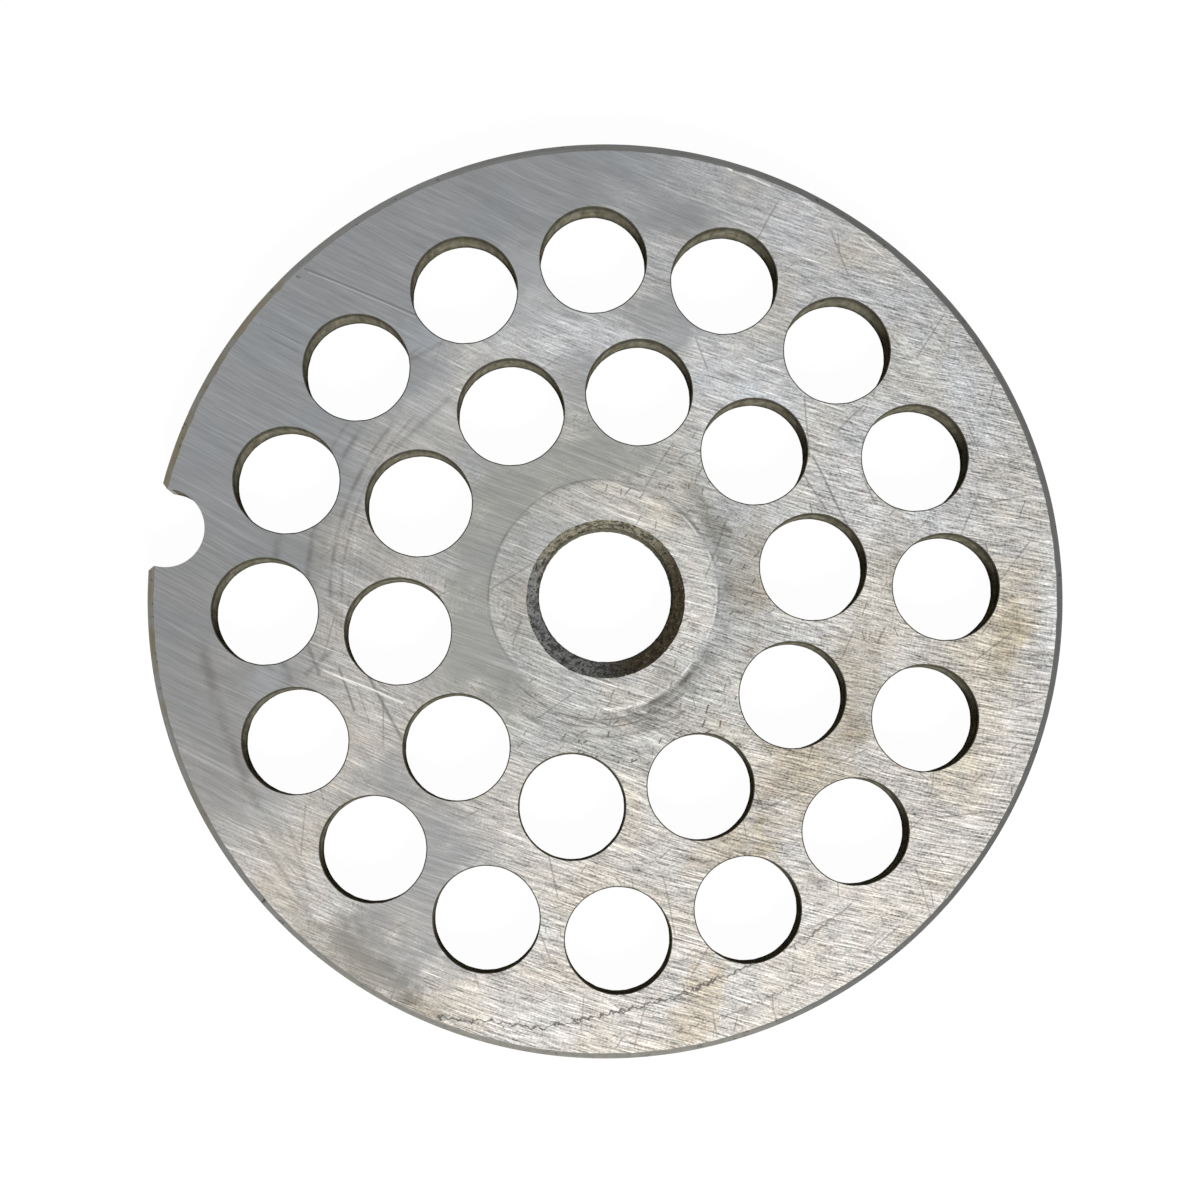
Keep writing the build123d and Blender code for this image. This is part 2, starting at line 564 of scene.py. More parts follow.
edge = value_of(stain, "MULTIPLY_ADD", edge_shift, 3.0, from_middle)
stain.links.new(ramp_of(stain, edge, 1.15, 0.35), stain_out["Mask"])

# Short random ticks, one to a cell, in a direction that turns with the place.
ticks, ticks_in, ticks_out = new_group("Ticks", "ShaderNodeTree", {
    "Position": (VECTOR, None),
    "Direction": (FLOAT, 0.0),
    "Spread": (FLOAT, 0.5),
    "Cell Size": (FLOAT, 2.0),
    "Half Length": (FLOAT, 0.3),
    "Half Width": (FLOAT, 0.05),
    "Share Kept": (FLOAT, 0.5),
}, {"Mask": FLOAT})
cell_position = vector_of(
    ticks, "SCALE", vector_of(ticks, "MULTIPLY", ticks_in["Position"], (1, 1, 0)),
    value_of(ticks, "DIVIDE", 1.0, ticks_in["Cell Size"])
)
cells = place(ticks, "ShaderNodeTexVoronoi", {"Vector": cell_position, "Scale": 1.0}, voronoi_dimensions="2D")
chance = place(ticks, "ShaderNodeSeparateColor", {0: cells.outputs["Color"]}).outputs
in_cell = vector_of(ticks, "SUBTRACT", cell_position, cells.outputs["Position"])
lean = times(ticks, less(ticks, chance[0], 0.5), ticks_in["Spread"])
tick_angle = plus(ticks, ticks_in["Direction"], lean)
straightened = place(ticks, "ShaderNodeVectorRotate", {
    "Vector": in_cell, "Angle": times(ticks, tick_angle, -1.0),
}, rotation_type="Z_AXIS").outputs[0]
tick_axes = axes_of(ticks, straightened)
tick_half_length = times(
    ticks, ticks_in["Half Length"], value_of(ticks, "MULTIPLY_ADD", chance[2], 0.8, 0.4)
)
tick_length = ramp_of(
    ticks, value_of(ticks, "ABSOLUTE", tick_axes[0]),
    times(ticks, tick_half_length, 0.7), tick_half_length, 1.0, 0.0
)
tick_width = ramp_of(ticks, value_of(ticks, "ABSOLUTE", tick_axes[1]), 0.0, ticks_in["Half Width"], 1.0, 0.0)
kept = value_of(ticks, "LESS_THAN", chance[1], ticks_in["Share Kept"])
ticks.links.new(times(ticks, kept, times(ticks, tick_length, tick_width)), ticks_out["Mask"])


def use(tree, group, sockets):
    """The one result of a node group, placed in a material with its own values."""
    return place(tree, "ShaderNodeGroup", sockets, node_tree=group).outputs[0]


def blend(tree, share, first, second, mode="MIX"):
    """Two colours mixed by a share."""
    node = place(tree, "ShaderNodeMix", data_type="RGBA", blend_type=mode)
    for socket, value in ((node.inputs[0], share), (node.inputs[6], first), (node.inputs[7], second)):
        if isinstance(value, bpy.types.NodeSocket):
            tree.links.new(value, socket)
        else:
            socket.default_value = value
    return node.outputs[2]


def layered(tree, colour, layers, mode="MIX"):
    """A colour with others laid over it in turn, each given as its share and its colour."""
    for share, over in layers:
        colour = blend(tree, share, colour, over, mode)
    return colour


def toned(tree, colour, strength):
    """A colour made lighter or darker by a strength, 1 leaving it as it is."""
    node = place(tree, "ShaderNodeMix", {0: strength, 6: (0, 0, 0, 1)}, data_type="RGBA", clamp_factor=False)
    tree.links.new(colour, node.inputs[7])
    return node.outputs[2]


def swing_of(tree, lines, strength):
    """A line pattern as a swing either way round nought."""
    return times(tree, less(tree, lines, 0.5), strength)


def worked_steel(name, metallic, index):
    """A material with its tree, its shader and the place on the piece in millimetres."""
    material = bpy.data.materials.new(name)
    material.use_nodes = True
    tree = material.node_tree
    shader = tree.nodes["Principled BSDF"]
    shader.inputs["Metallic"].default_value = metallic
    shader.inputs["IOR"].default_value = index
    metres = place(tree, "ShaderNodeTexCoord").outputs["Object"]
    position = place(tree, "ShaderNodeMapping", {"Vector": metres, "Scale": (1 / MM,) * 3}).outputs[0]
    return material, tree, shader, position


def finish_with(tree, shader, colour, roughness, bump_height, bump_strength, bump_depth):
    """Colour, roughness and fine relief go to the material's own shader."""
    relief = place(tree, "ShaderNodeBump", {
        "Strength": bump_strength, "Distance": bump_depth, "Height": bump_height,
    }).outputs[0]
    for socket_name, value in (("Base Color", colour), ("Roughness", roughness), ("Normal", relief)):
        if isinstance(value, bpy.types.NodeSocket):
            tree.links.new(value, shader.inputs[socket_name])
        else:
            shader.inputs[socket_name].default_value = value


# Places on the two faces, made to waver a little so that no ground line is a true circle.
ground_face, face, face_steel, true_position = worked_steel("ground_face", 1.0, 1.5)
place_axes = axes_of(face, true_position)
mid_height = round(plate_thickness / MM) / 2
knife_side = value_of(face, "GREATER_THAN", place_axes[2], mid_height)
side_seed = times(face, knife_side, 57.0)
waver = noise_of(face, true_position, 0.09, 1.0, output=1)
wavered = vector_of(face, "SCALE", vector_of(face, "SUBTRACT", waver, (0.5, 0.5, 0.5)), 0.9)
face_position = vector_of(face, "ADD", true_position, wavered)

# The lines of the grinding wheel, which is far larger than the plate, and of the knife round the bore.
wheel = {"Position": face_position, "Centre": (47.0, 249.0, 0.0), "Reach": 253.0, "Seed": side_seed}
grind_hair = use(face, arc_lines, {**wheel, "Line Width": 0.11, "Line Length": 1.8, "Detail": 1.0})
grind_fine = use(face, arc_lines, {**wheel, "Line Width": 0.19, "Line Length": 7.0, "Detail": 1.0})
grind_band = use(face, arc_lines, {**wheel, "Line Width": 1.1, "Line Length": 20.0, "Detail": 2.0})
knife = {"Position": true_position, "Seed": side_seed}
knife_fine = use(face, arc_lines, {**knife, "Line Width": 0.17, "Line Length": 2.6})
knife_band = use(face, arc_lines, {**knife, "Line Width": 2.4, "Line Length": 16.0})
cloud = noise_of(face, true_position, 0.12, 3.0)
mottle = noise_of(face, true_position, 0.6, 4.0)
speck = noise_of(face, true_position, 4.5, 2.0)

# How far the knife has worn the ground surface: little on one side, fully over the rest, and
# furthest in the band between the two rings of holes. The same share also carries painted light,
# which makes the face lighter toward the lower right.
hub_centre = (-0.35, 0.35, 0.0)
past_hub = vector_of(face, "SUBTRACT", face_position, hub_centre)
from_hub = length_of(face, vector_of(face, "MULTIPLY", past_hub, (1, 1, 0)))
swept_band = times(face, ramp_of(face, from_hub, 12.5, 18.0), ramp_of(face, from_hub, 30.0, 23.0))
across_plate = distance_along(face, true_position, (0.885, -0.465, 0.0))
wear_and_light_front = plus(face, across_plate, swing_of(face, cloud, 26.0))
wear_and_painted_light = ramp_of(face, value_of(face, "MULTIPLY_ADD", swept_band, 6.0, wear_and_light_front), -27.0, -6.0)


def patch_mask(centre, half_size, turn, raggedness=0.8):
    """The mask of one patch of the face, its turn in degrees."""
    return use(face, stain, {
        "Position": true_position, "Centre": (*centre, 0.0), "Turn": math.radians(turn),
        "Half Length": half_size[0], "Half Breadth": half_size[1], "Raggedness": raggedness,
    })


# Low places that the knife has missed keep the fresh, dull, grey-green ground surface. Each has its
# centre, half sizes, turn and share.
outside_hub = ramp_of(face, from_hub, 10.0, 10.4)
for centre, half_size, turn, share in (
    ((-9.2, 2.0), (15.5, 6.4), 100, 0.85),
    ((-10.4, -5.9), (6.8, 4.0), -40, 0.9),
    ((-3.0, 12.4), (6.4, 3.4), 8, 0.85),
    ((0.9, 35.0), (4.5, 1.8), 5, 0.8),
    ((-13.0, -26.0), (8.0, 13.0), 25, 0.75),
    ((-15.5, -34.5), (5.5, 3.4), -28, 0.7),
    ((-2.6, 19.0), (7.0, 4.6), 10, 0.7),
    ((-14.0, -8.6), (5.0, 3.4), -35, 0.5),
    ((-21.0, 0.4), (3.0, 4.0), 0, 0.4),
    ((-30.0, -21.0), (5.5, 7.5), 25, 0.5),
    ((1.2, 25.4), (4.8, 3.4), 0, 0.7),
    ((13.2, 24.6), (2.6, 2.0), 0, 0.4),
):
    missed = patch_mask(centre, half_size, turn, 0.5)
    missed_share = times(face, times(face, missed, share), outside_hub)
    missed_share = times(face, missed_share, knife_side)
    wear_and_painted_light = times(face, wear_and_painted_light, less(face, 1.0, missed_share))

# Painted light: the fresh surface is painted darker than the worn one and bluer toward the top, and the worn
# surface warmer toward the bottom, standing in for the reflection of a dim cool room above and a warm lamp
# below; part of the difference between them is the steel's own.
fresh_and_dim_colour = blend(
    face, ramp_of(face, place_axes[1], -10.0, 14.0), (0.204, 0.204, 0.203, 1), (0.222, 0.228, 0.234, 1)
)
fresh_and_dim_colour = blend(face, ramp_of(face, from_hub, 24.0, 13.0), fresh_and_dim_colour, (0.24, 0.242, 0.23, 1))
worn_and_lit_colour = blend(
    face, ramp_of(face, place_axes[1], 26.0, -6.0), (0.33, 0.331, 0.329, 1), (0.316, 0.304, 0.284, 1)
)
worn_and_lit_colour = blend(face, ramp_of(face, from_hub, 22.0, 12.0), worn_and_lit_colour, (0.29, 0.29, 0.28, 1))
face_colour = blend(face, wear_and_painted_light, fresh_and_dim_colour, worn_and_lit_colour)
tint = noise_of(face, true_position, 0.14, 5.0)
warm_share = times(face, ramp_of(face, tint, 0.48, 0.62), wear_and_painted_light)
cool_share = ramp_of(face, tint, 0.5, 0.36)
rosy_share = times(face, ramp_of(face, mottle, 0.52, 0.66), wear_and_painted_light)
face_colour = layered(face, face_colour, (
    (warm_share, (1.015, 0.995, 0.945, 1)),
    (cool_share, (0.975, 0.99, 1.01, 1)),
    (rosy_share, (1.02, 0.99, 0.985, 1)),
), "MULTIPLY")

# The grain is boldest on the side the wheel left last, toward the right.
boldness = ramp_of(face, across_plate, -14.0, 22.0, 0.55, 1.0)

# Each line pattern swings the tone either way: faint where the face is fresh, strong where it is worn.
streaks = swing_of(face, grind_band, 0.24)
for pattern, fresh_swing, worn_swing in (
    (grind_hair, 0.5, 2.45),
    (grind_fine, 0.45, 0.45),
    (knife_band, 0.0, 0.14),
    (mottle, 0.1, 0.12),
    (speck, 0.15, 1.5),
):
    swing_size = ramp_of(face, wear_and_painted_light, 0.0, 1.0, fresh_swing, worn_swing)
    swing_size = times(face, swing_size, boldness)
    streaks = plus(face, streaks, swing_of(face, pattern, swing_size))
knife_strength = times(face, wear_and_painted_light, ramp_of(face, cloud, 0.35, 0.65, 0.1, 0.9))
streaks = plus(face, streaks, swing_of(face, knife_fine, knife_strength))
long_scores = times(face, ramp_of(face, grind_fine, 0.6, 0.76), ramp_of(face, wear_and_painted_light, 0.0, 1.0, 0.1, 0.4))
streaks = plus(face, streaks, long_scores)
face_colour = toned(face, face_colour, value_of(face, "MAXIMUM", plus(face, streaks, 1.0), 0.1))

# The knife's edges have brightened the band between the rings of holes.
across_band = distance_along(face, true_position, (0.6, 0.8, 0.0))
swept_share = times(face, times(face, swept_band, wear_and_painted_light), knife_side)
swept_share = times(face, swept_share, ramp_of(face, across_band, -14.0, 10.0))
face_colour = blend(face, swept_share, face_colour, (1.13, 1.14, 1.15, 1), "MULTIPLY")

# Inside the step the turning hub has burnished the face a shade lighter.
toward_shine = distance_along(face, true_position, (0.8, 0.6, 0.0))
burnish_depth = times(face, ramp_of(face, toward_shine, -2.0, 8.0, 0.12, 1.0), knife_side)
burnished = times(face, ramp_of(face, from_hub, 10.2, 9.6), burnish_depth)
face_colour = blend(face, burnished, face_colour, (1.24, 1.21, 1.17, 1), "MULTIPLY")

# Short ticks across the grain where the knife runs, and stray ones from handling.
knife_ticks = use(face, ticks, {
    "Position": face_position, "Direction": math.radians(62), "Spread": 1.1,
    "Cell Size": 1.2, "Half Length": 0.36, "Half Width": 0.09, "Share Kept": 0.5,
})
near_hub = ramp_of(face, from_hub, 22.0, 13.0, 0.25, 1.0)
tick_zone = times(face, ramp_of(face, cloud, 0.4, 0.55, 0.2, 1.0), near_hub)
for centre, half_size, turn in (
    ((12.2, 3.4), (6.4, 3.6), 80),
    ((9.6, -10.4), (6.0, 2.6), 40),
    ((2.0, -13.4), (7.0, 2.2), 5),
):
    tick_zone = plus(face, tick_zone, patch_mask(centre, half_size, turn))
knife_ticks = times(face, knife_ticks, tick_zone)
stray_ticks = use(face, ticks, {
    "Position": true_position, "Direction": 0.0, "Spread": 6.28,
    "Cell Size": 2.8, "Half Length": 0.28, "Half Width": 0.032, "Share Kept": 0.5,
})
stray_hairlines = use(face, ticks, {
    "Position": face_position, "Direction": math.radians(60), "Spread": 2.6,
    "Cell Size": 5.5, "Half Length": 0.55, "Half Width": 0.024, "Share Kept": 0.7,
})
stray_ticks = times(face, stray_ticks, ramp_of(face, across_plate, 0.0, 25.0, 0.5, 1.0))
stray_ticks = value_of(face, "MAXIMUM", stray_ticks, times(face, stray_hairlines, 0.7))
tick_marks = times(face, value_of(face, "MAXIMUM", knife_ticks, stray_ticks), wear_and_painted_light)
face_colour = blend(face, times(face, tick_marks, 0.72), face_colour, (0.09, 0.085, 0.075, 1))

# Patches that can be told apart: dulled by the knife's hub, and beside its step partly painted
# shade, stained by washing, or burnished pale. Each has its centre, half sizes, turn, colour and
# share.
dull, warm_stain, pale = (0.62, 0.61, 0.58, 1), (0.88, 0.82, 0.73, 1), (1.14, 1.17, 1.2, 1)
for centre, half_size, turn, colour, share in (
    # Partly painted shade: this patch and the next two lie in the shallow groove outside the hub's step on
    # its right and darken it as shade would, besides dulling it.
    ((8.2, 8.6), (1.2, 3.4), 42, (0.68, 0.68, 0.65, 1), 1.0),
    ((12.6, 3.6), (2.6, 7.0), 4, (0.85, 0.82, 0.77, 1), 1.0),
    ((6.2, -9.2), (1.2, 3.2), -60, (0.7, 0.69, 0.67, 1), 0.9),
    ((-7.6, -2.0), (7.5, 2.0), 100, dull, 0.4),
    ((7.2, -6.2), (1.8, 2.6), 40, (0.8, 0.79, 0.76, 1), 0.9),
    ((-17.5, -35.3), (8.5, 3.2), -28, (0.76, 0.74, 0.69, 1), 0.9),
    ((-9.8, -38.6), (2.4, 1.4), -10, (0.8, 0.77, 0.72, 1), 0.9),
    ((-24.5, -3.0), (3.2, 8.0), 10, dull, 0.25),
    ((19.8, -11.6), (6.4, 9.0), 20, (0.83, 0.79, 0.72, 1), 1.0),
    ((23.6, -3.8), (3.4, 6.0), 0, (0.8, 0.77, 0.7, 1), 0.8),
    ((24.7, 7.6), (2.4, 2.4), 0, (0.78, 0.78, 0.76, 1), 0.8),
    ((36.4, 1.6), (1.8, 4.6), 0, (0.82, 0.78, 0.7, 1), 0.9),
    ((34.5, 1.0), (4.6, 17.0), -3, (1.04, 1.01, 0.94, 1), 1.0),
    ((14.0, -20.5), (6.0, 3.4), 20, warm_stain, 0.7),
    ((14.2, -34.6), (5.0, 2.4), 80, warm_stain, 1.0),
    ((16.4, 34.1), (2.4, 1.2), -20, warm_stain, 0.4),
    ((-5.4, -38.0), (2.6, 1.5), 0, (1.1, 1.09, 1.06, 1), 0.7),
    ((27.6, 24.4), (2.8, 1.9), -20, pale, 0.9),
    ((22.6, 11.0), (1.2, 1.6), -35, pale, 0.5),
    ((27.2, 12.2), (2.0, 2.4), 0, pale, 1.0),
    ((39.5, 5.0), (9.5, 1.3), 97, pale, 1.0),
    ((24.0, 26.8), (3.6, 2.2), 40, pale, 0.8),
    ((-19.6, 20.6), (2.2, 1.8), 0, pale, 0.9),
    ((5.6, -16.4), (3.2, 2.4), -20, (1.25, 1.25, 1.22, 1), 0.9),
    ((-11.5, 28.2), (3.4, 3.4), 10, (1.22, 1.22, 1.21, 1), 0.9),
    ((-28.6, -12.0), (2.0, 2.6), 0, pale, 1.0),
    ((22.5, -24.8), (1.3, 1.8), 10, pale, 0.9),
    ((-11.2, 23.0), (5.0, 4.4), 15, (1.14, 1.14, 1.14, 1), 1.0),
    ((-17.4, 13.8), (6.4, 4.2), 60, (1.18, 1.16, 1.13, 1), 1.0),
    ((10.3, 19.8), (3.0, 2.4), 0, pale, 0.8),
    ((15.6, 34.9), (7.0, 3.4), -20, (1.1, 1.1, 1.11, 1), 0.9),
    ((12.8, -6.0), (2.6, 2.2), -36, pale, 0.7),
    ((-23.9, -2.8), (1.8, 3.4), 0, pale, 0.5),
    ((-25.8, -23.4), (3.0, 2.6), 0, pale, 0.6),
):
    patch_share = times(face, patch_mask(centre, half_size, turn), times(face, knife_side, share))
    face_colour = blend(face, patch_share, face_colour, colour, "MULTIPLY")

# Arcs round the bore, rubbed by the knife, and two beside the hub's step that are painted shade:
# radius, middle angle, half angle, width, depth of tone.
rubbed_arcs_and_shade = 0.0
for radius, middle_angle, half_angle, width, depth in (
    (10.3, 160, 75, 0.13, 0.42),
    # Painted shade: this arc and the wide one below darken the groove just outside the hub's step on its
    # right.
    (10.35, 24, 50, 0.2, 0.5),
    (11.0, 2, 46, 1.2, 0.34),
    (10.6, -40, 30, 0.6, 0.75),
    (11.4, -60, 34, 0.35, 0.45),
    (12.7, -80, 40, 0.3, 0.4),
    (11.1, -95, 34, 0.16, 0.6),
    (11.8, -86, 28, 0.14, 0.6),
    (24.3, 172, 24, 0.35, 0.4),
    (23.3, 170, 26, 0.25, 0.3),
    (26.3, 176, 24, 0.45, 0.35),
    (27.6, 150, 16, 0.3, 0.2),
    (35.9, -148, 18, 0.9, 0.32),
    (29.2, -166, 18, 0.6, 0.3),
):
    arc = use(face, arc_mark, {
        "Position": face_position, "Centre": hub_centre, "Radius": radius, "Width": width,
        "Middle Angle": middle_angle, "Half Angle": half_angle,
    })
    rubbed_arcs_and_shade = value_of(face, "MAXIMUM", rubbed_arcs_and_shade, times(face, arc, depth))
rubbed_arcs_and_shade = times(face, rubbed_arcs_and_shade, ramp_of(face, mottle, 0.4, 0.58, 0.4, 1.15))


def add_scratches(masks, position, marks):
    """The strongest of some masks and of more scratches: from, to, width, depth of tone."""
    for start, end, width, depth in marks:
        mark = use(face, scratch, {
            "Position": position, "From": (*start, 0.0), "To": (*end, 0.0), "Width": width,
        })
        masks = value_of(face, "MAXIMUM", masks, times(face, mark, depth))
    return masks


# Dark scratches that can be told apart.
scratches = add_scratches(0.0, face_position, (
    ((-31.4, 25.0), (-20.8, 22.4), 0.1, 0.6),
    ((-34.4, 19.3), (-30.5, 18.2), 0.08, 0.45),
    ((-33.2, 18.2), (-30.6, 17.4), 0.08, 0.4),
    ((-31.95, 24.15), (-31.7, 24.1), 0.2, 0.6),
    ((-16.8, 15.6), (-21.0, 10.1), 0.45, 0.25),
    ((-21.2, 18.0), (-18.2, 20.4), 0.35, 0.25),
    ((-20.6, -9.5), (-15.8, -15.4), 0.26, 0.6),
    ((-22.6, -10.1), (-20.6, -13.6), 0.2, 0.6),
    ((-25.9, -8.0), (-24.3, -10.7), 0.3, 0.45),
    ((-23.4, -8.4), (-25.4, -10.9), 0.4, 0.35),
    ((-21.0, -11.0), (-19.0, -14.5), 0.12, 0.35),
    ((-27.6, -25.5), (-21.5, -32.0), 0.45, 0.3),
    ((-25.0, -24.0), (-22.0, -30.0), 0.35, 0.25),
    ((16.1, 15.6), (20.3, 10.1), 0.16, 0.6),
    ((16.6, 11.5), (16.9, 10.7), 0.12, 0.6),
    ((18.4, 15.2), (18.9, 14.3), 0.1, 0.5),
    ((29.5, 20.5), (30.7, 18.4), 0.09, 0.5),
    ((31.0, 20.2), (30.4, 18.9), 0.07, 0.4),
    ((15.5, 35.8), (15.9, 34.2), 0.09, 0.45),
    ((16.3, 35.3), (15.2, 34.4), 0.07, 0.35),
    ((21.8, -1.7), (22.5, 0.7), 0.12, 0.5),
    ((22.4, -26.3), (24.4, -25.1), 0.16, 0.5),
    ((28.9, -26.8), (30.6, -24.8), 0.14, 0.5),
    ((28.0, -27.3), (29.4, -25.6), 0.09, 0.4),
))

# A jagged hairline runs along the outer holes, and a fainter one nearer the rim.
jitter = noise_of(face, true_position, 1.7, 3.0, output=1)
jitter = vector_of(face, "SCALE", vector_of(face, "SUBTRACT", jitter, (0.5, 0.5, 0.5)), 1.6)
jagged_position = vector_of(face, "ADD", true_position, jitter)
for points, width, depth in (
    (((-8.6, -39.2), (-4.6, -38.9), (0.3, -38.7), (5.4, -36.8), (11.3, -34.3), (18.2, -30.1)), 0.18, 1.0),
    (((18.2, -30.1), (22.2, -27.5), (24.3, -25.2)), 0.14, 0.8),
    (((12.3, -37.1), (14.3, -36.1), (17.8, -34.3), (22.3, -31.2), (28.0, -28.9)), 0.13, 0.65),
):
    runs = [(start, end, width, depth) for start, end in zip(points, points[1:])]
    scratches = add_scratches(scratches, jagged_position, runs)
# These dark marks include the painted shade beside the hub's step.
marks = times(face, value_of(face, "MAXIMUM", scratches, rubbed_arcs_and_shade), knife_side)
face_colour = blend(face, marks, face_colour, (0.07, 0.066, 0.06, 1))

# Bright scratches that have cut through to clean steel, and a painted highlight along the hub's step.
bright_cuts_and_highlight = add_scratches(0.0, face_position, (
    ((-31.0, 24.7), (-21.0, 22.2), 0.07, 0.3),
    ((-23.0, -10.7), (-16.3, -12.2), 0.13, 0.7),
    ((-24.0, -10.4), (-20.8, -11.4), 0.09, 0.5),
    ((-25.6, -8.0), (-22.5, -8.7), 0.08, 0.45),
    ((4.6, 39.9), (5.0, 39.7), 0.2, 0.9),
    ((6.5, 39.4), (8.6, 38.9), 0.14, 0.5),
    ((11.8, 38.1), (13.4, 37.5), 0.1, 0.45),
    ((17.6, 35.7), (19.8, 34.4), 0.12, 0.5),
    ((21.5, 33.4), (23.0, 32.4), 0.1, 0.45),
))
# Painted highlight: a thin bright line along the hub's step on its right, where the step's slope faces the
# lamp.
painted_step_highlight = use(face, arc_mark, {
    "Position": face_position, "Centre": hub_centre, "Radius": 10.12, "Width": 0.12,
    "Middle Angle": 8.0, "Half Angle": 56.0,
})
painted_step_highlight = times(face, painted_step_highlight, ramp_of(face, mottle, 0.4, 0.6, 0.0, 0.45))
bright_cuts_and_highlight = value_of(face, "MAXIMUM", bright_cuts_and_highlight, painted_step_highlight)
face_colour = blend(face, times(face, bright_cuts_and_highlight, knife_side), face_colour, (0.72, 0.71, 0.68, 1))

face_roughness = plus(face, ramp_of(face, wear_and_painted_light, 0.0, 1.0, 0.36, 0.42), swing_of(face, grind_fine, 0.15))
line_height = plus(face, grind_fine, grind_hair)
finish_with(face, face_steel, face_colour, face_roughness, line_height, 0.5, 0.008 * MM)

# ---- Turned rim ---------------------------------------------------------------------------------
# The rim and its chamfers keep the lathe's finish: duller and darker than the ground faces, with
# turning lines round them, a few nicks, and old grease stain on the side of the notch. Painted light
# makes them lighter toward the lower left.
turned_rim, rim, rim_steel, rim_position = worked_steel("turned_rim", 1.0, 1.5)
rim_lines = noise_of(rim, vector_of(rim, "MULTIPLY", rim_position, (0.12, 0.12, 5.0)), 1.0, 3.0)
rim_cloud = noise_of(rim, rim_position, 0.22, 4.0)
rim_speck = noise_of(rim, rim_position, 1.8, 3.0)
rim_axes = axes_of(rim, rim_position)
grease_share = times(rim, ramp_of(rim, rim_axes[0], -26.0, -38.0), ramp_of(rim, rim_cloud, 0.4, 0.6))
# The rim is a lighter, warmer grey along its bottom.
lower_rim_share = ramp_of(rim, rim_axes[1], -30.0, -40.0)
rim_colour = blend(rim, rim_cloud, (0.153, 0.154, 0.151, 1), (0.187, 0.187, 0.181, 1))
# Painted light: the rim is painted lighter toward the lower left and darker toward the upper right.
toward_lit_side = distance_along(rim, rim_position, (-0.9, -0.42, 0.0))
rim_colour = toned(rim, rim_colour, ramp_of(rim, toward_lit_side, -41.0, 41.0, 0.8, 1.3))
rim_colour = layered(rim, rim_colour, (
    (grease_share, (0.19, 0.17, 0.12, 1)),
    (lower_rim_share, (0.266, 0.259, 0.23, 1)),
))
rim_swing = plus(rim, swing_of(rim, rim_lines, 0.5), swing_of(rim, rim_speck, 0.45))
rim_colour = toned(rim, rim_colour, plus(rim, rim_swing, 1.0))
rim_nicks = ramp_of(rim, rim_speck, 0.36, 0.28)
rim_colour = blend(rim, times(rim, rim_nicks, 0.7), rim_colour, (0.03, 0.028, 0.024, 1))
rim_roughness = ramp_of(rim, rim_speck, 0.3, 0.7, 0.45, 0.58)
finish_with(rim, rim_steel, rim_colour, rim_roughness, rim_lines, 0.5, 0.02 * MM)

# ---- Drilled walls ------------------------------------------------------------------------------
# The holes and the notch are left as the drill and mill left them, with fine rings down the wall,
# under a dry olive film of old oil that is darkest at the edges.
drilled_wall_finish, wall, wall_steel, wall_position = worked_steel("drilled_wall", 0.0, 1.0)
wall_axes = axes_of(wall, wall_position)
wall_streaks = noise_of(wall, vector_of(wall, "MULTIPLY", wall_position, (1.8, 1.8, 0.25)), 1.0, 3.0)
wall_rings = noise_of(wall, vector_of(wall, "MULTIPLY", wall_position, (0.4, 0.4, 4.5)), 1.0, 2.0)
wall_cloud = noise_of(wall, wall_position, 0.6, 4.0)
wall_depth = value_of(wall, "ABSOLUTE", less(wall, wall_axes[2], mid_height))
edge_film = ramp_of(wall, plus(wall, wall_depth, swing_of(wall, wall_cloud, 3.0)), 1.2, 4.2)
oil_share = ramp_of(wall, wall_cloud, 0.35, 0.65)
wall_colour = blend(wall, oil_share, (0.33, 0.3, 0.205, 1), (0.46, 0.435, 0.34, 1))
wall_swing = plus(wall, swing_of(wall, wall_streaks, 1.9), swing_of(wall, wall_rings, 0.6))
wall_colour = toned(wall, wall_colour, plus(wall, wall_swing, 1.0))
wall_colour = blend(wall, times(wall, edge_film, 0.85), wall_colour, (0.07, 0.065, 0.05, 1))
finish_with(wall, wall_steel, wall_colour, 0.75, wall_rings, 0.5, 0.03 * MM)

# ---- Rough bore ---------------------------------------------------------------------------------
# The bore and its countersinks are never ground. They are left rough, pitted and grey-black, with
# a film of oil and dark blotches in the pits. The side away from the lamp is painted dark brown as
# shade, and the brightest grains are painted pale as glints that catch the light.
rough_bore, bore, bore_steel, bore_position = worked_steel("rough_bore", 0.0, 1.03)
bore_axes = axes_of(bore, bore_position)
coarse_grain = noise_of(bore, bore_position, 1.9, 5.0)
fine_grain = noise_of(bore, bore_position, 4.5, 3.0, 0.7)
toward_oil = distance_along(bore, bore_position, (0.6, 0.8, 0.0))
oil_share = ramp_of(bore, plus(bore, toward_oil, swing_of(bore, coarse_grain, 6.0)), -4.5, 0.5)
bore_colour = blend(bore, oil_share, (0.31, 0.32, 0.315, 1), (0.36, 0.335, 0.25, 1))
bore_colour = toned(bore, bore_colour, plus(bore, swing_of(bore, coarse_grain, 2.0), 1.0))
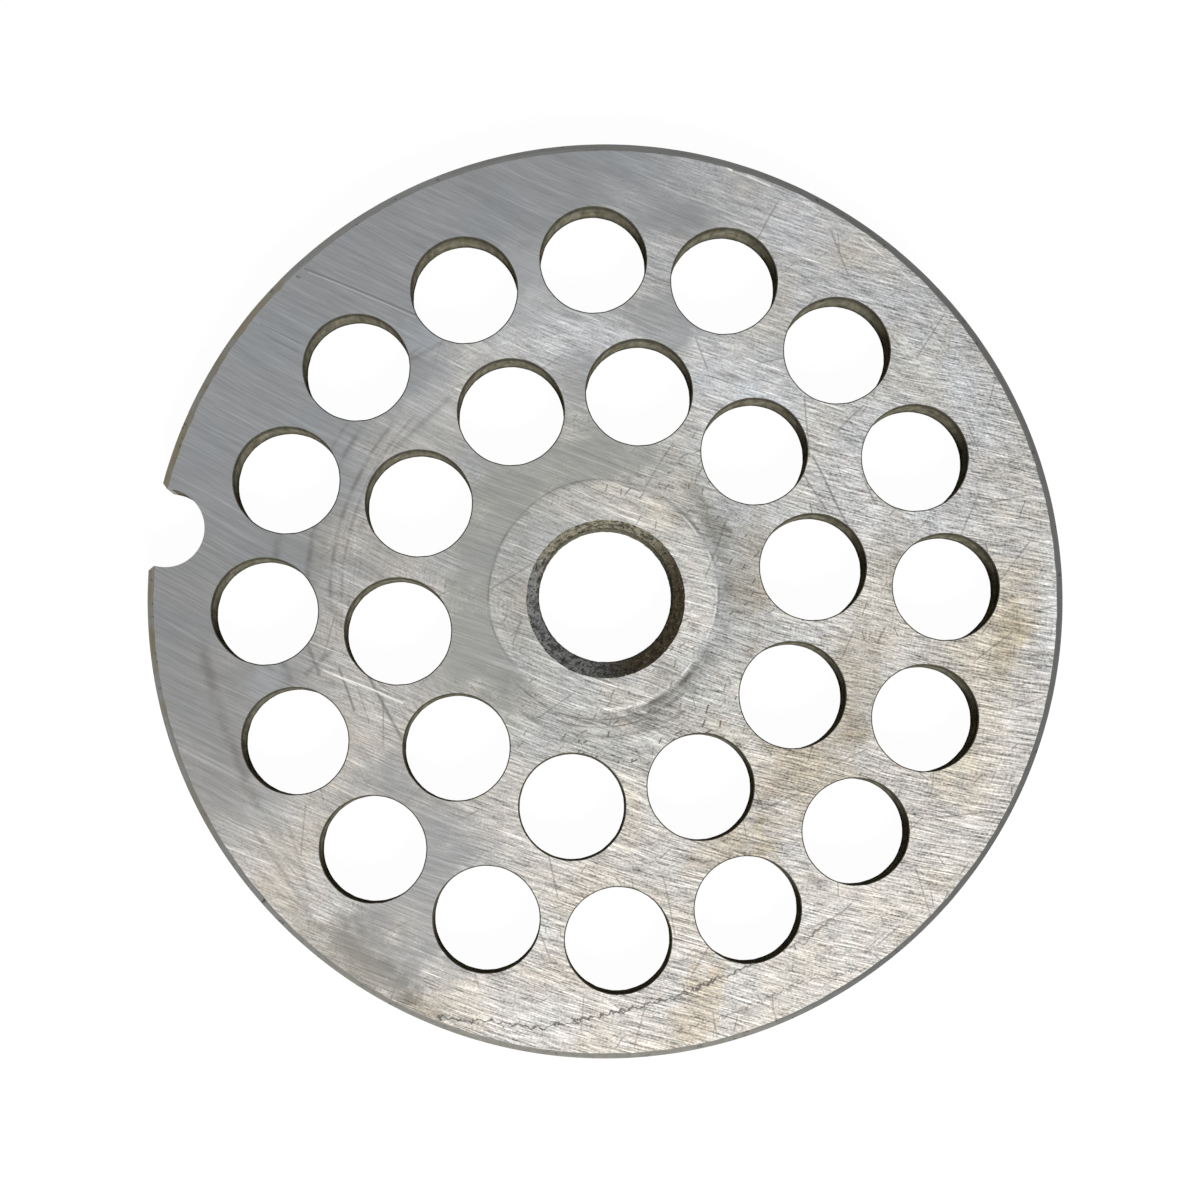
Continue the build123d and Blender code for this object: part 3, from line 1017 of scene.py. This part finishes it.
# Painted shade: the bore is painted dark brown on its right side, which faces away from the lamp.
toward_shaded_side = distance_along(bore, bore_position, (0.96, -0.28, 0.0))
painted_shade_share = ramp_of(bore, plus(bore, toward_shaded_side, swing_of(bore, coarse_grain, 4.0)), 0.8, 5.0)
dark_blotch = ramp_of(bore, coarse_grain, 0.5, 0.4)
below_cone = ramp_of(bore, bore_axes[2], 6.6, 6.5)
cone_foot = 6.75
off_foot = value_of(bore, "ABSOLUTE", less(bore, bore_axes[2], cone_foot))
foot_line = ramp_of(bore, off_foot, 0.35, 0.1)
bore_colour = layered(bore, bore_colour, (
    (times(bore, painted_shade_share, 0.85), (0.09, 0.065, 0.035, 1)),
    (times(bore, dark_blotch, 0.5), (0.04, 0.034, 0.026, 1)),
    (times(bore, below_cone, 0.5), (0.4, 0.37, 0.26, 1)),
    (times(bore, foot_line, 0.8), (0.03, 0.026, 0.018, 1)),
    (ramp_of(bore, fine_grain, 0.48, 0.36), (0.04, 0.034, 0.025, 1)),
    # Painted glints: the brightest grains are painted pale, as highlights where they catch the light.
    (ramp_of(bore, fine_grain, 0.63, 0.74), (0.75, 0.75, 0.72, 1)),
))
bore_roughness = ramp_of(bore, fine_grain, 0.3, 0.7, 0.75, 0.5)
finish_with(bore, bore_steel, bore_colour, bore_roughness, fine_grain, 0.8, 0.08 * MM)

# ---- Finished plate -----------------------------------------------------------------------------
# The blank goes through the drilling once, with its finishes and with the drift of this plate's own
# bore, and comes out as one closed mesh that stands in for the plain solid.
drilling = blank.modifiers.new("drilled_plate", "NODES")
drilling.node_group = plate_tree
socket_ids = {item.name: item.identifier for item in plate_tree.interface.items_tree}
for socket_name, value in {
    "Ground Face": ground_face,
    "Turned Rim": turned_rim,
    "Drilled Wall": drilled_wall_finish,
    "Rough Bore": rough_bore,
    "Bore Offset": (-0.06 * MM, 0.4 * MM, 0.0),
    "Countersink Drift": (0.09 * MM, -0.58 * MM, 0.0),
}.items():
    drilling[socket_ids[socket_name]] = value

evaluated = blank.evaluated_get(bpy.context.evaluated_depsgraph_get())
plate_mesh = bpy.data.meshes.new_from_object(evaluated)
plate_mesh.name = "drilled_plate"
plate = bpy.data.objects.new("drilled_plate", plate_mesh)
bpy.context.collection.objects.link(plate)
blank.modifiers.remove(drilling)
bpy.data.objects.remove(blank)
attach(plate, "root")
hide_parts("grinder_plate")

# ---- Bench, lamps and camera --------------------------------------------------------------------
# The plate lies on a plain white bench top under one large soft lamp and an even pale surround. The
# camera looks down on the knife face from a little off its axis.
bench_reach = 1.5
bench_corners = [(bench_reach * x, bench_reach * y, 0) for x, y in ((-1, -1), (1, -1), (1, 1), (-1, 1))]
bench_mesh = bpy.data.meshes.new("bench_top")
bench_mesh.from_pydata(bench_corners, [], [(0, 1, 2, 3)])
bench = bpy.data.objects.new("bench_top", bench_mesh)
bpy.context.collection.objects.link(bench)


def seen_rays(tree):
    """1 for what is seen directly or mirrored in metal or glass, 0 for light on its way."""
    rays = place(tree, "ShaderNodeLightPath").outputs
    mirrored = value_of(tree, "MAXIMUM", rays["Is Glossy Ray"], rays["Is Transmission Ray"])
    return value_of(tree, "MAXIMUM", rays["Is Camera Ray"], mirrored)


bench_finish = bpy.data.materials.new("bench_white")
bench_finish.use_nodes = True
bench_tree = bench_finish.node_tree
bench_tree.nodes.clear()
plain_paint = place(bench_tree, "ShaderNodeBsdfDiffuse", {"Color": (0.025, 0.025, 0.025, 1)}).outputs[0]
thin_paint = place(bench_tree, "ShaderNodeBsdfDiffuse", {"Color": (0.06, 0.06, 0.06, 1)}).outputs[0]
glow = place(bench_tree, "ShaderNodeEmission", {"Color": (1, 1, 1, 1), "Strength": 0.98}).outputs[0]
white_top = place(bench_tree, "ShaderNodeAddShader", {0: thin_paint, 1: glow}).outputs[0]
bench_shader = place(bench_tree, "ShaderNodeMixShader", {
    0: seen_rays(bench_tree), 1: plain_paint, 2: white_top,
}).outputs[0]
place(bench_tree, "ShaderNodeOutputMaterial", {"Surface": bench_shader})
bench_mesh.materials.append(bench_finish)

surround = bpy.data.worlds.new("surround")
bpy.context.scene.world = surround
surround.use_nodes = True
sky_tree = surround.node_tree
sky_tree.nodes.clear()
room_light = place(sky_tree, "ShaderNodeBackground", {"Color": (0.93, 0.96, 1, 1), "Strength": 0.008})
white_room = place(sky_tree, "ShaderNodeBackground", {"Color": (1, 1, 1, 1), "Strength": 1.0})
room = place(sky_tree, "ShaderNodeMixShader", {
    0: seen_rays(sky_tree), 1: room_light.outputs[0], 2: white_room.outputs[0],
})
place(sky_tree, "ShaderNodeOutputWorld", {"Surface": room.outputs[0]})

soft_lamp_data = bpy.data.lights.new("soft_lamp", "AREA")
soft_lamp_data.shape = "DISK"
soft_lamp_data.size = 0.28
soft_lamp_data.energy = 6.1
soft_lamp = bpy.data.objects.new("soft_lamp", soft_lamp_data)
bpy.context.collection.objects.link(soft_lamp)
soft_lamp.location = (0.18, -0.39, 0.75)
aim = (-soft_lamp.location).to_track_quat("-Z", "Y")
soft_lamp.rotation_euler = aim.to_euler()

camera_data = bpy.data.cameras.new("camera")
camera_data.sensor_width = 36.0
camera_data.lens = 139.03
camera_data.clip_start = 0.01
camera_data.clip_end = 10.0
camera = bpy.data.objects.new("camera", camera_data)
bpy.context.collection.objects.link(camera)
camera.location = (-2.424 * MM, -18.104 * MM, 422.288 * MM)
camera.rotation_euler = (math.radians(2.4064), math.radians(-0.6589), math.radians(9.156))
bpy.context.scene.camera = camera
bpy.context.scene.view_settings.view_transform = "Standard"
